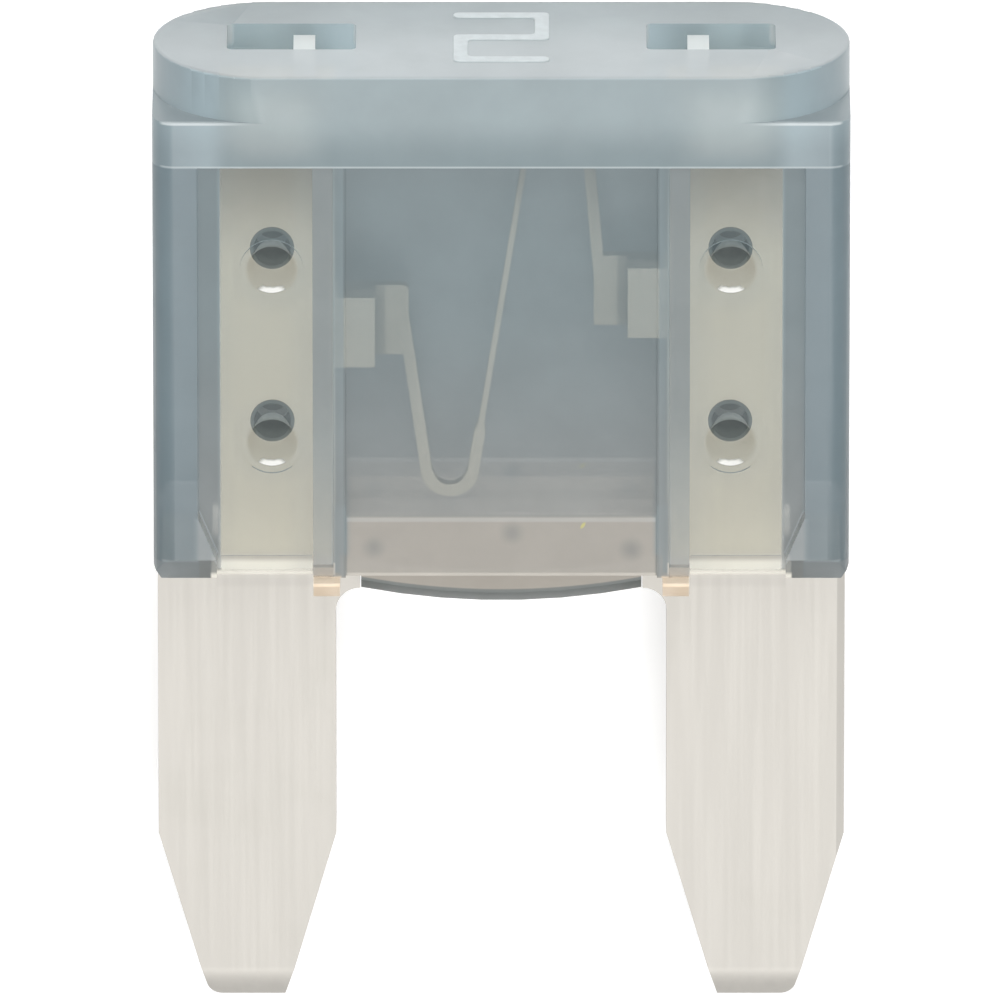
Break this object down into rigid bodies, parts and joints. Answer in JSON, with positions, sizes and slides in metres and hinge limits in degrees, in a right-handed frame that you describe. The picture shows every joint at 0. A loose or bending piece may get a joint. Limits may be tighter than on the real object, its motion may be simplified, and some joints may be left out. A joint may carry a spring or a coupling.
{
  "type": "automotive blade fuse",
  "caption": "Miniature automotive blade fuse: a see-through moulded housing with probe openings and stakes, round a stamped metal element whose thin link joins the blades.",
  "frame": {"origin": "middle of the fuse's box in X and Y, on the surface that its back lies on", "axes": "+X across the fuse to the right blade, +Y along the fuse towards the head, +Z out of the front face"},
  "size_m": [0.011, 0.016, 0.0036],
  "materials": {
    "clear_plastic": "smoke-grey see-through moulded plastic, gloss",
    "plated_metal": "pale matt plated zinc sheet"
  },
  "bodies": {
    "root": {"housing": "clear_plastic", "fuse_element": "plated_metal"}
  },
  "joints": []
}
